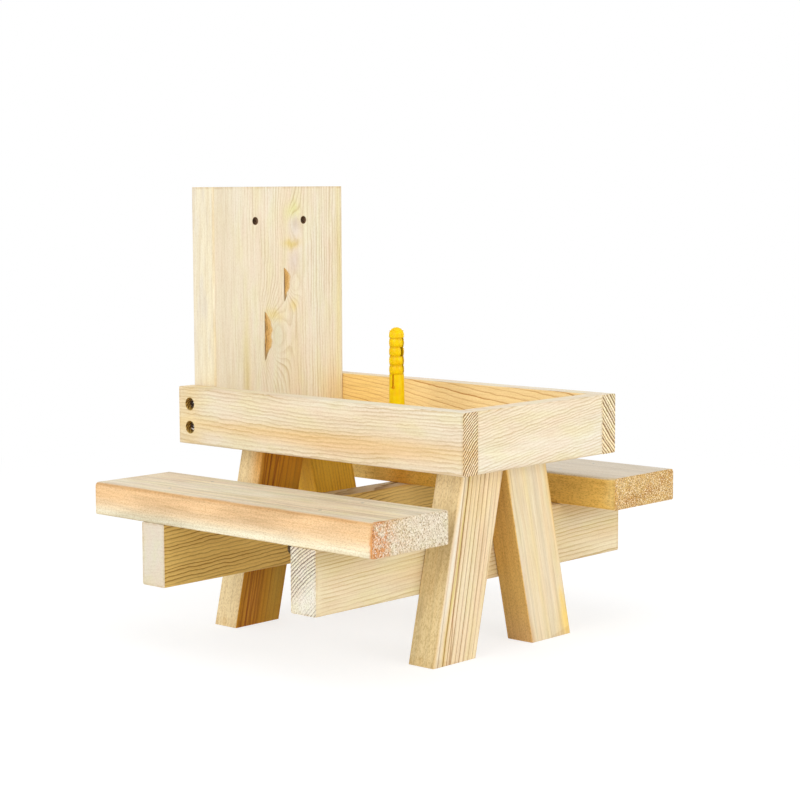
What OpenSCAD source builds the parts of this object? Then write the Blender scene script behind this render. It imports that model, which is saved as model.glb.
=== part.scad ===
// Squirrel feeder built like a small picnic table: a seed tray on two splayed leg frames,
// a bench along each side, a mounting board at the back and a corn spike with a pull-off tip guard.
// X runs from the mounting board at the back (-X) to the front rail (+X), Y runs across, Z is up.
// Left is -Y and right is +Y, as seen by someone who faces the mounting board.
// The origin is on the ground under the middle of the feeder.

/* [Tray] */
// Length of the tray from the back of the mounting board to the front rail's face
tray_l = 240; // [200:1:300]
// Width of the tray over its two side rails
tray_w = 144; // [130:1:180]
// Height of the tray's underside above the ground
tray_z = 116.5; // [105:0.5:140]
// Height of the rails
rail_h = 36.5; // [30:0.5:60]
// Thickness of the rails
rail_t = 13; // [10:0.5:18]
// Thickness of the floor slats
slat_t = 12.5; // [9:0.5:18]
// Drain gap between two floor slats
slat_gap = 4; // [2:0.5:8]

/* [Mounting board] */
// Length of the mounting board, from the tray's underside to its top edge
board_l = 163.5; // [120:0.5:240]
// Thickness of the mounting board
board_t = 20; // [15:0.5:28]
// Diameter of the two holes that the feeder hangs by
hang_hole_d = 5; // [3:0.5:8]
// Distance between the two hanging holes
hang_hole_pitch = 44; // [20:1:80]
// Distance of the hanging holes below the board's top edge
hang_hole_drop = 22; // [10:0.5:40]

/* [Benches] */
// How much shorter the benches are than the tray; their back ends are flush with its back
bench_short = 5; // [0:1:30]
// Width of a bench
bench_w = 63; // [45:0.5:70]
// Thickness of a bench
bench_t = 20; // [14:0.5:26]
// Height of the bench tops above the ground
seat_z = 98.5; // [85:0.5:104]
// Radius of the rounded top edges of a bench
bench_round = 2.5; // [1:0.5:6]

/* [Leg frames] */
// Width of a leg, square to its length
leg_w = 37.5; // [30:0.5:42]
// Thickness of a leg
leg_t = 20; // [14:0.5:26]
// Lean of a leg away from upright, in degrees
leg_lean = 13; // [8:0.5:16]
// Distance from the end of a bench to the outer face of the leg near it
frame_inset = 23.5; // [10:0.5:30]
// Length of a cross beam
beam_l = 284; // [270:1:320]
// Height of a cross beam
beam_h = 38.5; // [30:0.5:45]
// Thickness of a cross beam
beam_t = 20; // [14:0.5:26]

/* [Corn spike] */
// Outer diameter of the screw that the corn cob is pushed on
spike_d = 6; // [5:0.5:7]
// Length of the corn spike from the tray's underside to its tip
spike_l = 70; // [60:1:90]
// Length of the spike's cone-shaped point
spike_point = 9; // [4:0.5:14]
// Diameter of the spike's sunk head
spike_head_d = 11.5; // [9:0.5:14]

/* [Tip guard] */
// Length of the tip guard
guard_l = 50; // [44:1:60]
// Outer diameter of the guard's mouth
guard_mouth_d = 9.9; // [9:0.1:12]
// Length of the straight rim at the guard's mouth
guard_rim_l = 1.5; // [0.5:0.1:4]
// Outer diameter of the guard's neck, just below its beads
guard_neck_d = 9.3; // [8.4:0.1:11]
// Outer diameter over the guard's beads and its round head
guard_bead_d = 9.5; // [9:0.1:11]
// Depth of the grooves between the beads
guard_groove = 0.45; // [0.2:0.05:0.6]
// Length of one bead
guard_bead_l = 5.7; // [4:0.1:6.5]
// Number of beads below the round head
guard_beads = 4; // [2:1:4]
// Length of the round head above the last groove
guard_head_l = 6.7; // [6:0.1:9]
// Solid end between the spike's point and the guard's top
guard_cap = 6; // [4:0.5:7]
// Width of the slot that parts the beads, and of the keyhole groove below them
guard_slot_w = 1.2; // [0.6:0.1:1.6]
// Diameter of the round lower end of the keyhole groove
guard_eye_d = 2.3; // [1.7:0.1:2.6]
// Length of the keyhole groove from the lowest bead down to its round end
guard_slit_l = 8; // [4:0.5:10]
// Depth of the keyhole groove
guard_slit_depth = 0.9; // [0.3:0.1:1]
// Bead that has a window beside the slot, counted from the lowest one as 0
guard_window_bead = 2; // [0:1:3]
// Width of that window
guard_window_w = 1.5; // [0.5:0.1:2]
// Height of the two fins along the guard's lower part, above its neck
guard_fin = 0.4; // [0.1:0.05:0.5]
// Width of a fin
guard_fin_w = 0.9; // [0.5:0.1:1.5]
// Turn of the guard on its spike, in degrees
guard_turn = 14; // [0:1:90]
// Radial clearance between the guard's bore and the spike
guard_fit = 0.06; // [0.02:0.01:0.1]

/* [Screws and nails] */
// Diameter of the wood screws' shanks
screw_d = 4; // [3:0.5:5]
// Diameter of the wood screws' sunk heads
screw_head_d = 7.6; // [6.5:0.1:9]
// Height of the straight rim round a sunk head's face
screw_rim = 0.4; // [0.2:0.1:0.8]
// Length of the screws that hold the side rails to the mounting board
rail_screw_l = 30; // [20:1:35]
// Distance between the two screws at each end of the mounting board
rail_screw_pitch = 15; // [12:0.5:20]
// Diameter of the round recess that a rail screw's head sits in
recess_d = 8; // [7.7:0.1:10]
// Depth of that recess
recess_depth = 5.5; // [4:0.5:7]
// Height of a rail screw's round head
pan_h = 2.6; // [2:0.1:3.5]
// Length of the screws from the floor slats down into the legs
leg_screw_l = 40; // [25:1:45]
// Length of the screws from the cross beams into the legs
beam_screw_l = 35; // [28:1:38]
// Distance between the two screws where a beam crosses a leg
beam_screw_pitch = 18; // [14:0.5:22]
// Diameter of the bench nails
nail_d = 1.6; // [1.2:0.1:2]
// Length of the bench nails
nail_l = 45; // [35:1:50]
// Diameter of the bench nails' small heads
nail_head_d = 2.4; // [2.1:0.1:4]
// Thickness of the bench nails' heads
nail_head_h = 0.8; // [0.5:0.1:1.2]
// Distance of a bench nail from the bench's long edge
nail_inset = 14; // [8:0.5:20]

/* [Edges] */
// Radius of the eased edges of rails, slats, board, beams and legs
ease = 1; // [0.3:0.1:2]

/* [Hidden] */
$fn = 48;
// Small overlap that keeps a cut clear of the face it starts from
eps = 0.5;

back_x = -tray_l / 2;
bench_l = tray_l - bench_short;
board_face_x = back_x + board_t;
floor_end_x = tray_l / 2 - rail_t;
floor_l = floor_end_x - board_face_x;
inner_w = tray_w - 2 * rail_t;
floor_z = tray_z + slat_t;

slat_w = (inner_w - 2 * slat_gap) / 3;
slat_step = slat_w + slat_gap;

bench_z = seat_z - bench_t;
bench_mid_x = back_x + bench_l / 2;
bench_inner_y = beam_l / 2 - bench_w;
beam_z = bench_z - beam_h;

// Distance from the middle of the benches to the face where legs and beams meet
frame_x = bench_l / 2 - frame_inset - leg_t;
front_frame_x = bench_mid_x + frame_x;
back_frame_x = bench_mid_x - frame_x;
leg_cut_w = leg_w / cos(leg_lean);
leg_l = tray_z / cos(leg_lean) + leg_w;

spike_x = (board_face_x + floor_end_x) / 2;
spike_top = tray_z + spike_l;
guard_z = spike_top + guard_fit - (guard_l - guard_cap);
guard_r = guard_bead_d / 2;
beads_z = guard_l - guard_head_l - guard_beads * guard_bead_l;
// Radius of the arc that bulges a bead by the depth of a groove
bead_arc = (pow(guard_bead_l / 2, 2) + pow(guard_groove, 2)) / (2 * guard_groove);

// Cross-section of a plank from 0, 0 to w, h, with its low and its top edges rounded
module section(w, h, low_r = ease, top_r = ease) {
    difference() {
        square([w, h]);
        for (x = [0, w])
            for (y = [0, h])
                corner_cut(x, y, y == 0 ? low_r : top_r, x == 0 ? 1 : -1, y == 0 ? 1 : -1);
    }
}

// What rounding takes off one corner of a section
module corner_cut(x, y, r, sx, sy) {
    translate([x, y])
        scale([sx, sy])
            difference() {
                translate([-eps, -eps])
                    square(r + eps);
                translate([r, r])
                    circle(r);
            }
}

// Plank along X, from its corner with the lowest x, y and z
module plank_x(l, w, h, low_r = ease, top_r = ease) {
    rotate([90, 0, 90])
        linear_extrude(l)
            section(w, h, low_r, top_r);
}

// Plank along Y, from its corner with the lowest x, y and z
module plank_y(l, w, h) {
    translate([0, l, 0])
        rotate([90, 0, 0])
            linear_extrude(l)
                section(w, h);
}

// Screw with a flat sunk head, its face at z = 0 and its point down
module sunk_screw(d, l, head_d) {
    cone = (head_d - d) / 2;
    translate([0, 0, -screw_rim])
        cylinder(d = head_d, h = screw_rim);
    translate([0, 0, -screw_rim - cone])
        cylinder(d1 = d, d2 = head_d, h = cone);
    translate([0, 0, -l + d])
        cylinder(d = d, h = l - d - screw_rim - cone);
    translate([0, 0, -l])
        cylinder(d1 = d / 8, d2 = d, h = d);
}

// Screw with a low round head that stands on z = 0, its point down
module pan_screw(d, l, head_d, head_h) {
    cylinder(d1 = head_d, d2 = head_d - head_h, h = head_h);
    translate([0, 0, -l + d])
        cylinder(d = d, h = l - d);
    translate([0, 0, -l])
        cylinder(d1 = d / 8, d2 = d, h = d);
}

// Finish nail with a small flat head, its face at z = 0 and its point down
module nail(d, l, head_d, head_h) {
    translate([0, 0, -head_h])
        cylinder(d = head_d, h = head_h);
    translate([0, 0, -l + d])
        cylinder(d = d, h = l - d - head_h);
    translate([0, 0, -l])
        cylinder(d1 = d / 8, d2 = d, h = d);
}

// Puts its children at each screw of the side rails, with z pointing out of the rail
module at_rail_screws() {
    for (side = [-1, 1])
        for (dz = [-1, 1])
            translate([back_x + board_t / 2, side * (tray_w / 2 - recess_depth),
                       tray_z + rail_h / 2 + dz * rail_screw_pitch / 2])
                rotate([side < 0 ? 90 : -90, 0, 0])
                    children();
}

module rail_screws() {
    color("dimgray")
        at_rail_screws()
            pan_screw(screw_d, rail_screw_l, screw_head_d, pan_h);
}

// Each leg takes one screw through the middle slat and one through the side slat
module leg_screws() {
    middle_y = min(slat_w / 2, leg_cut_w) / 2;
    side_y = (slat_w / 2 + slat_gap + leg_cut_w) / 2;
    color("silver")
        for (x = [front_frame_x + leg_t / 2, back_frame_x - leg_t / 2])
            for (y = [-side_y, -middle_y, middle_y, side_y])
                translate([x, y, floor_z])
                    sunk_screw(screw_d, leg_screw_l, screw_head_d);
}

// Screws through each beam into the leg behind it, in line with the leg's lean
module beam_screws() {
    mid_z = beam_z + beam_h / 2;
    color("silver")
        for (end = [-1, 1])
            for (side = [-1, 1])
                for (dz = [-1, 1]) {
                    z = mid_z + dz * beam_screw_pitch / 2;
                    y = leg_cut_w / 2 + (tray_z - z) * tan(leg_lean);
                    translate([bench_mid_x + end * (frame_x - beam_t), side * y, z])
                        rotate([0, -90 * end, 0])
                            sunk_screw(screw_d, beam_screw_l, screw_head_d);
                }
}

// Two nails through each bench into each beam under it
module bench_nails() {
    color("silver")
        for (x = [front_frame_x - beam_t / 2, back_frame_x + beam_t / 2])
            for (side = [-1, 1])
                for (y = [bench_inner_y + nail_inset, beam_l / 2 - nail_inset])
                    translate([x, side * y, seat_z])
                        nail(nail_d, nail_l, nail_head_d, nail_head_h);
}

module back_board() {
    color("burlywood")
        difference() {
            translate([back_x, inner_w / 2, tray_z])
                rotate([0, 0, -90])
                    linear_extrude(board_l)
                        section(inner_w, board_t);
            for (side = [-1, 1])
                translate([back_x - eps, side * hang_hole_pitch / 2, tray_z + board_l - hang_hole_drop])
                    rotate([0, 90, 0])
                        cylinder(d = hang_hole_d, h = board_t + 2 * eps);
            rail_screws();
        }
}

// Left side rail, with two recesses where it is screwed to the mounting board
module left_rail() {
    color("wheat")
        difference() {
            translate([back_x, -tray_w / 2, tray_z])
                plank_x(tray_l, rail_t, rail_h);
            at_rail_screws()
                cylinder(d = recess_d, h = recess_depth + eps);
            rail_screws();
        }
}

module right_rail() {
    mirror([0, 1, 0])
        left_rail();
}

module front_rail() {
    color("wheat")
        translate([floor_end_x, -inner_w / 2, tray_z])
            plank_y(inner_w, rail_t, rail_h);
}

// One floor slat; place is -1 for the left slat, 0 for the middle one and 1 for the right one
module slat(place) {
    color("burlywood")
        difference() {
            translate([board_face_x, place * slat_step - slat_w / 2, tray_z])
                plank_x(floor_l, slat_w, slat_t);
            leg_screws();
            corn_spike();
        }
}

module left_slat() slat(-1);
module middle_slat() slat(0);
module right_slat() slat(1);

module left_bench() {
    color("burlywood")
        difference() {
            translate([back_x, -beam_l / 2, bench_z])
                plank_x(bench_l, bench_w, bench_t, ease, bench_round);
            bench_nails();
        }
}

module right_bench() {
    mirror([0, 1, 0])
        left_bench();
}

// Cross beam whose outer face lies against the legs; x is its inner or back face
module beam(x) {
    color("wheat")
        difference() {
            translate([x, -beam_l / 2, beam_z])
                plank_y(beam_l, beam_t, beam_h);
            beam_screws();
            bench_nails();
        }
}

module front_beam() beam(front_frame_x - beam_t);
module back_beam() beam(back_frame_x);

// Leg that leans out to the left; the legs of a frame meet on the middle line under the tray
module left_leg(x) {
    color("tan")
        difference() {
            intersection() {
                translate([x, 0, tray_z])
                    rotate([-leg_lean, 0, 0])
                        translate([0, -leg_w, -leg_l])
                            linear_extrude(leg_l + leg_w)
                                section(leg_t, leg_w);
                translate([x - eps, -tray_w, 0])
                    cube([leg_t + 2 * eps, 2 * tray_w, tray_z]);
            }
            leg_screws();
            beam_screws();
        }
}

module front_left_leg() left_leg(front_frame_x);
module back_left_leg() left_leg(back_frame_x - leg_t);

module front_right_leg() {
    mirror([0, 1, 0])
        front_left_leg();
}

module back_right_leg() {
    mirror([0, 1, 0])
        back_left_leg();
}

// Long screw driven up through the middle slat, its head flush with the slat's underside
module corn_spike() {
    color("silver")
        translate([spike_x, 0, tray_z]) {
            cylinder(d1 = spike_head_d, d2 = spike_d, h = (spike_head_d - spike_d) / 2);
            cylinder(d = spike_d, h = spike_l - spike_point);
            translate([0, 0, spike_l - spike_point])
                cylinder(d1 = spike_d, d2 = spike_d / 10, h = spike_point);
        }
}

// Half outline of the guard's outside, to the right of its axis
module guard_outline() {
    polygon([[0, 0], [guard_mouth_d / 2, 0], [guard_mouth_d / 2, guard_rim_l],
             [guard_neck_d / 2, beads_z], [0, beads_z]]);
    for (i = [0 : guard_beads - 1])
        bead_outline(beads_z + i * guard_bead_l);
    head_z = guard_l - guard_head_l;
    intersection() {
        translate([0, head_z])
            square([guard_r, guard_head_l]);
        union() {
            translate([0, guard_l - guard_r])
                circle(guard_r);
            translate([0, head_z + guard_groove])
                square([guard_r, guard_l - guard_r - head_z - guard_groove]);
            translate([0, head_z])
                square([guard_r - guard_groove, guard_r]);
        }
    }
}

// One bead of the outline: an arc that swells out between two grooves
module bead_outline(z) {
    intersection() {
        translate([0, z])
            square([guard_r, guard_bead_l]);
        translate([guard_r - bead_arc, z + guard_bead_l / 2])
            circle(bead_arc, $fn = 96);
    }
}

// What is cut out beside the slot in one bead, on one side of the guard
module guard_window() {
    bead = min(guard_window_bead, guard_beads - 1);
    translate([0, -guard_slot_w / 2 - guard_window_w, beads_z + bead * guard_bead_l])
        cube([guard_r + eps, guard_slot_w / 2 + guard_window_w, guard_bead_l]);
}

// Keyhole groove in one side of the neck, open towards the beads
module guard_keyhole() {
    translate([0, guard_slit_depth - guard_neck_d / 2, beads_z - guard_slit_l])
        rotate([90, 0, 0]) {
            cylinder(d = guard_eye_d, h = guard_slit_depth + eps);
            translate([-guard_slot_w / 2, 0, 0])
                cube([guard_slot_w, guard_slit_l, guard_slit_depth + eps]);
        }
}

// Expansion plug used as a soft tip: blind bore, split beads, windows, keyhole grooves and fins
module tip_guard() {
    bore_r = spike_d / 2 + guard_fit;
    color("gold")
        translate([spike_x, 0, guard_z])
            rotate([0, 0, guard_turn])
                difference() {
                    union() {
                        rotate_extrude()
                            guard_outline();
                        translate([-guard_neck_d / 2 - guard_fin, -guard_fin_w / 2, guard_rim_l])
                            cube([guard_neck_d + 2 * guard_fin, guard_fin_w, beads_z - 2 * guard_rim_l]);
                    }
                    translate([0, 0, -eps])
                        cylinder(r = bore_r, h = guard_l - guard_cap + eps);
                    translate([0, 0, -eps])
                        cylinder(r1 = bore_r + 2 * eps, r2 = bore_r, h = 2 * eps);
                    translate([-guard_r - eps, -guard_slot_w / 2, beads_z + guard_slot_w])
                        cube([2 * (guard_r + eps), guard_slot_w, guard_beads * guard_bead_l - guard_slot_w]);
                    for (a = [0, 180])
                        rotate([0, 0, a]) {
                            guard_window();
                            guard_keyhole();
                        }
                }
}

back_board();
left_rail();
right_rail();
front_rail();
left_slat();
middle_slat();
right_slat();
left_bench();
right_bench();
front_beam();
back_beam();
front_left_leg();
front_right_leg();
back_left_leg();
back_right_leg();
rail_screws();
leg_screws();
beam_screws();
bench_nails();
corn_spike();
tip_guard();
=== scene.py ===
"""Looks of the squirrel feeder: bare pine, steel fasteners, a yellow tip guard and a studio."""
import math
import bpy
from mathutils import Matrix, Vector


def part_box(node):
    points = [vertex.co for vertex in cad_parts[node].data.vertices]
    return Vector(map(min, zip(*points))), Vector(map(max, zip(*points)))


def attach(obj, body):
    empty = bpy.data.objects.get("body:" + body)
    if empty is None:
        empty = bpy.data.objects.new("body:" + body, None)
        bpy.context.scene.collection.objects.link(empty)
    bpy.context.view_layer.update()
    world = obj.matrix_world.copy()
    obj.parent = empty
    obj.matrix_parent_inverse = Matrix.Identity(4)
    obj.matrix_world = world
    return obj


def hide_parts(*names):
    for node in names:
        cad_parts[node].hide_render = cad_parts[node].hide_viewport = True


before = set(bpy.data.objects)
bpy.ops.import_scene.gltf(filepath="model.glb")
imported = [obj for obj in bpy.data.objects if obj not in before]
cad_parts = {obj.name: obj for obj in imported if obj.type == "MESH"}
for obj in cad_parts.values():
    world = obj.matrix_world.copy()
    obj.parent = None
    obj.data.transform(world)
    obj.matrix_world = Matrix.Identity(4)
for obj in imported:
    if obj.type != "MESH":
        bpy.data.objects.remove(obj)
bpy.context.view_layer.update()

from types import SimpleNamespace

import bmesh
import bpy
from mathutils import Euler, Matrix, Vector

MM = 0.001


# Node trees


class Nodes:
    """Short way to write a node tree: a value is a number, a tuple or another node's output."""

    COLUMNS = 12
    STEP_X = 200
    STEP_Y = -260

    def __init__(self, tree):
        self.tree = tree
        self.count = 0

    def new(self, kind, inputs=None, **settings):
        """Add a node of a kind, with its settings and inputs, in the next free place."""
        node = self.tree.nodes.new(kind)
        row, column = divmod(self.count, self.COLUMNS)
        node.location = (self.STEP_X * column, self.STEP_Y * row)
        self.count += 1
        for key, value in settings.items():
            setattr(node, key, value)
        for key, value in (inputs or {}).items():
            self.put(node.inputs[key], value)
        return node

    def put(self, socket, value):
        """Link a node's output to a socket, or set the socket's own value."""
        if isinstance(value, bpy.types.NodeSocket):
            self.tree.links.new(value, socket)
        elif socket.type == "RGBA" and isinstance(value, (int, float)):
            socket.default_value = (value, value, value, 1)
        elif socket.type == "RGBA":
            socket.default_value = (*value[:3], 1)
        else:
            socket.default_value = value

    def math(self, operation, *values, clamp=False):
        """Result of one operation on numbers."""
        node = self.new("ShaderNodeMath", operation=operation, use_clamp=clamp)
        for socket, value in zip(node.inputs, values):
            self.put(socket, value)
        return node.outputs[0]

    def vector(self, operation, *values):
        """Result of one operation on vectors."""
        node = self.new("ShaderNodeVectorMath", operation=operation)
        for socket, value in zip(node.inputs, values):
            self.put(socket, value)
        return node.outputs["Value" if operation in ("LENGTH", "DOT_PRODUCT") else "Vector"]

    def split(self, vector):
        """The three parts of a vector."""
        node = self.new("ShaderNodeSeparateXYZ", {"Vector": vector})
        return node.outputs["X"], node.outputs["Y"], node.outputs["Z"]

    def ease(self, value, low, high, start=0.0, end=1.0):
        """Turn low to high smoothly into start to end."""
        limits = {"Value": value, "From Min": low, "From Max": high, "To Min": start, "To Max": end}
        return self.new("ShaderNodeMapRange", limits, interpolation_type="SMOOTHSTEP").outputs[0]

    def noise(self, vector, per_mm, detail=2.0, rough=0.5, output="Fac"):
        """Cloudy noise from 0 to 1, with so many waves per mm along each axis."""
        place = self.vector("MULTIPLY", vector, per_mm)
        return self.new("ShaderNodeTexNoise", {"Vector": place, "Scale": 1.0, "Detail": detail,
                                               "Roughness": rough}).outputs[output]

    def swing(self, vector, per_mm, reach, detail=2.0):
        """A vector that wanders round zero, by about a fifth of reach either way."""
        wild = self.noise(vector, per_mm, detail, 0.5, "Color")
        return self.vector("MULTIPLY", self.vector("SUBTRACT", wild, (0.5, 0.5, 0.5)), reach)

    def ramp(self, value, *stops):
        """Map a value through stops of place and grey or colour."""
        node = self.new("ShaderNodeValToRGB", {"Fac": value})
        elements = node.color_ramp.elements
        while len(elements) < len(stops):
            elements.new(0.5)
        for element, (place, colour) in zip(elements, stops):
            element.position = place
            element.color = (*colour, 1) if isinstance(colour, tuple) else (colour, colour, colour, 1)
        return node.outputs["Color"]

    def mix(self, factor, first, second, blend="MIX"):
        """First colour at factor 0 and second at 1; MULTIPLY tones the first by the second instead."""
        node = self.new("ShaderNodeMix", data_type="RGBA", blend_type=blend)
        self.put(node.inputs[0], factor)
        self.put(node.inputs[6], first)
        self.put(node.inputs[7], second)
        return node.outputs[2]

    def blob(self, place, centre, reach):
        """1 at a centre, fading past its reach along each axis; a reach of 0 means any distance."""
        scale = tuple(1 / r if r else 0 for r in reach)
        away = self.vector("MULTIPLY", self.vector("SUBTRACT", place, centre), scale)
        return self.math("EXPONENT", self.math("MULTIPLY", self.vector("DOT_PRODUCT", away, away), -1.0))

    def bump(self, height, strength, depth):
        """Normal of a surface with this height map, depth mm deep."""
        return self.new("ShaderNodeBump", {"Height": height, "Strength": strength,
                                           "Distance": depth * MM}).outputs[0]

    def surface(self, **sockets):
        """End a material with a Principled shader; an underscore in a name stands for a space."""
        inputs = {name.replace("_", " "): value for name, value in sockets.items()}
        shader = self.new("ShaderNodeBsdfPrincipled", inputs)
        self.new("ShaderNodeOutputMaterial", {"Surface": shader.outputs[0]})


def srgb(red, green, blue):
    """A colour written as it looks on the screen, from 0 to 255, as linear light by the sRGB standard."""
    def linear(value):
        value /= 255
        return value / 12.92 if value <= 0.04045 else ((value + 0.055) / 1.055) ** 2.4
    return (linear(red), linear(green), linear(blue))


def material(name):
    """An empty material and the means to fill its tree."""
    made = bpy.data.materials.new(name)
    made.use_nodes = True
    made.node_tree.nodes.clear()
    return made, Nodes(made.node_tree)


def dress(obj, made):
    """Give an object one material."""
    obj.data.materials.clear()
    obj.data.materials.append(made)


# Marks on a plank. Its own axes are u along the fibres and v and w across them, in mm from its middle.

WHOLE = 300
THROUGH = 30
FRONT = -10        # w of the broad faces of board and legs that look forward
LEG_EDGE = -18.75  # v of a leg's left narrow face
LOW_V = (0, -1, 0)
LOW_W = (0, 0, -1)
HIGH_W = (0, 0, 1)


def face(way, colour, grit=0.0):
    """The faces that look one way get a colour of their own and more grit; on some planks that colour is
    painted shade.
    """
    return way, srgb(*colour), grit


def tint(colour, amount, u=0, v=0, w=0, long=WHOLE, wide=THROUGH, deep=THROUGH):
    """A patch of colour with soft edges, a stain on most planks and painted light and shade on a few: its
    centre, and its reach along u, v and w.
    """
    return (u, v, w), (long, wide, deep), srgb(*colour), amount


def front_tint(colour, amount, **where):
    """A patch of colour on a broad face that looks forward: a stain, and on the back left leg painted
    shade.
    """
    return tint(colour, amount, w=FRONT, **where)


def calm(amount, u=0, v=0, w=0, long=0, wide=0, deep=0):
    """A region with fainter rings; a reach of 0 means any distance."""
    return (u, v, w), (long, wide, deep), amount


def knot(u, v, long, wide, lift):
    """A place that the rings bend round, by lift mm at its middle."""
    return (u, v, 0), (long, wide, 0), lift


def vein(v, slope, width, depth):
    """A dark line along the fibres."""
    return v, slope, width, depth


def scar(u, v, long, wide):
    """A long thin knot cut along its length; v is its straight left edge and long is half its length."""
    return u, v, long, wide


def drilled(u, v, w, axes, radius, shade):
    """A drilled hole: its centre, the axes that lie across it, its radius and the painted shade that
    tones its wall.
    """
    return (u, v, w), axes, radius, shade


# The planks. A turn goes from a plank's own axes to the feeder's.

ALONG_X = Euler((0, 0, 0))
ALONG_Y = Euler((0, 0, math.pi / 2))
UPRIGHT = Euler((0, -math.pi / 2, 0))
LEG_LEAN = math.radians(13)
LEG_HALF = (60, 18.75, 10)
CREAM = srgb(240, 232, 211)
WARM = srgb(240, 225, 197)
# The two tones below are painted shade for the walls of drilled holes.
HANG_HOLE_SHADE = (0.30, 0.20, 0.13)
RECESS_SHADE = (0.54, 0.44, 0.18)
RAIL_SIDE = -6.5
BENCH_SIDE = -31.5


def leaning(side):
    """Turn of a leg: side is 1 for a left leg and -1 for a right one."""
    lean = Euler((-LEG_LEAN * side, 0, 0)).to_matrix()
    return (lean @ UPRIGHT.to_matrix()).to_euler()


def plank(node, turn, **changes):
    """One plank of pine, as its node's name, its turn and what sets it apart from plain pine."""
    made = SimpleNamespace(
        node=node, turn=turn,
        half=None,  # half its size in its own axes, where the node's box doesn't give it
        pith=(10, 45), slope=(0, 0),  # middle of the tree in v and w, and how that drifts along u
        ring=2.4, uneven=0.8, vary=0.7, share=0.25,  # rings: width, its changes, their tones, dark share
        wander=3.0, ripple=1.5, shiver=0.4,  # how far rings stray in long, middling and short waves
        light=CREAM, warm=WARM, line=(0.68, 0.55, 0.33),  # pale wood, darker wood, what lines multiply by
        contrast=0.6, fade=0.55,  # strength of the rings, and how far they fade in places
        band=0.3, bands=(0.28, 0.28), grit=0.25,  # broad bands, their waves per mm, and rough fibres
        end=(0.95, 0.90, 0.82), end_line=(0.62, 0.50, 0.36), end_contrast=0.8,  # sawn ends, their rings
        speckle=0.35, fleck=srgb(250, 242, 226),  # dark dots and pale fuzz on sawn ends
        faces=(), tints=(), veins=(), calms=(), knots=(), scars=(), holes=())
    vars(made).update(changes)
    return made


def back_board():
    """Mounting board: plain at its left, with knots and two scars in a column right of its middle."""
    return plank(
        "back_board", UPRIGHT, pith=(-140, 30), ring=2.5, wander=1.5, ripple=2.8, contrast=0.72, fade=0.6,
        vary=0.5, band=0.15, end=(0.84, 0.81, 0.75),
        knots=[knot(u=-16, v=-4, long=21, wide=11, lift=20), knot(u=17, v=12, long=10, wide=7, lift=11),
               knot(u=34, v=12, long=10, wide=6.5, lift=9), knot(u=58, v=11, long=15, wide=8, lift=10)],
        scars=[scar(u=17.2, v=3.6, long=11.4, wide=5.4), scar(u=-16, v=-14.4, long=16.6, wide=6.4)],
        tints=knot_stains() + [
            front_tint((238, 214, 160), 0.5, u=-60, v=50, long=22, wide=12),
            front_tint((222, 208, 140), 0.6, u=-40, v=-31, long=40, wide=3),
            front_tint((231, 219, 194), 0.7, v=-50, wide=12),
            front_tint((238, 224, 164), 0.7, u=20, v=55, long=90, wide=3),
            front_tint((246, 234, 196), 0.7, v=-59.3, wide=1)],
        faces=[face(LOW_V, (231, 223, 213))],
        calms=[calm(0.85, v=-48, long=150, wide=24), calm(0.6, u=-20, v=-27, long=50, wide=11),
               calm(0.8, u=-17, v=-3, long=14, wide=8), calm(0.6, u=17, v=13, long=6, wide=4),
               calm(0.8, u=34, v=13, long=6, wide=4)],
        holes=[drilled(u=59.75, v=side * 22, w=0, axes=(1, 1, 0), radius=2.5, shade=HANG_HOLE_SHADE)
               for side in (-1, 1)])


def knot_stains():
    """Resin and paler wood round the board's knots."""
    return [front_tint((228, 204, 110), 0.9, u=45, v=11, long=3, wide=7),
            front_tint((232, 228, 160), 0.8, u=66, v=12, long=6, wide=6),
            front_tint((232, 222, 214), 0.8, u=56, v=14, long=6, wide=5),
            front_tint((230, 216, 204), 0.8, u=34, v=13, long=9, wide=5),
            front_tint((238, 214, 130), 0.6, u=3, v=12, long=4, wide=4),
            front_tint((236, 214, 130), 0.7, u=-2, v=-6, long=4, wide=8),
            front_tint((226, 222, 192), 0.8, u=-17, v=-4, long=13, wide=6)]


def screw_recesses():
    """The two recesses at a side rail's back end."""
    return [drilled(u=-110, v=0, w=side * 7.5, axes=(1, 0, 1), radius=4, shade=RECESS_SHADE)
            for side in (-1, 1)]


def left_rail():
    """Side rail with a warm band along its lower half."""
    return plank(
        "left_rail", ALONG_X, pith=(50, -50), ring=1.55, wander=1.5, ripple=1.6, shiver=0.8, contrast=0.8,
        uneven=0.5, vary=0.35, end=(1.28, 1.2, 1.0), end_line=(0.26, 0.16, 0.07), end_contrast=5.0,
        tints=[tint((238, 206, 150), 0.9, v=RAIL_SIDE, w=-5, long=160, deep=5),
               tint((240, 204, 154), 0.6, u=40, v=RAIL_SIDE, w=-9, long=80, deep=5),
               tint((238, 214, 160), 0.7, u=-110, v=RAIL_SIDE, long=12, deep=40)],
        holes=screw_recesses())


def right_rail():
    """Side rail that shows its yellow inner side, with long dark lines."""
    return plank(
        "right_rail", ALONG_X, pith=(80, 95), slope=(0.0, -0.12), ring=2.0, line=(0.56, 0.33, 0.12),
        contrast=1.1, wander=2.0, ripple=1.2, fade=0.3, share=0.14, vary=0.8,
        end=(1.32, 1.27, 1.05), end_line=(0.20, 0.12, 0.06), end_contrast=8.0,
        faces=[face(LOW_V, (251, 223, 166))],
        tints=[tint((249, 213, 132), 0.9, u=-80, v=RAIL_SIDE, long=45, wide=4, deep=60)],
        holes=screw_recesses())


def front_rail():
    """End rail, with slanting rings."""
    return plank("front_rail", ALONG_Y, pith=(10, -60), slope=(0.0, 0.16), ring=1.7, wander=2.0,
                 ripple=2.4, shiver=0.8, contrast=0.9, vary=0.4)


def slats():
    """The floor's three slats, in plain pine."""
    return [plank("left_slat", ALONG_X, pith=(0, 60)), plank("middle_slat", ALONG_X, pith=(5, 50)),
            plank("right_slat", ALONG_X, pith=(-5, 60))]


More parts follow.
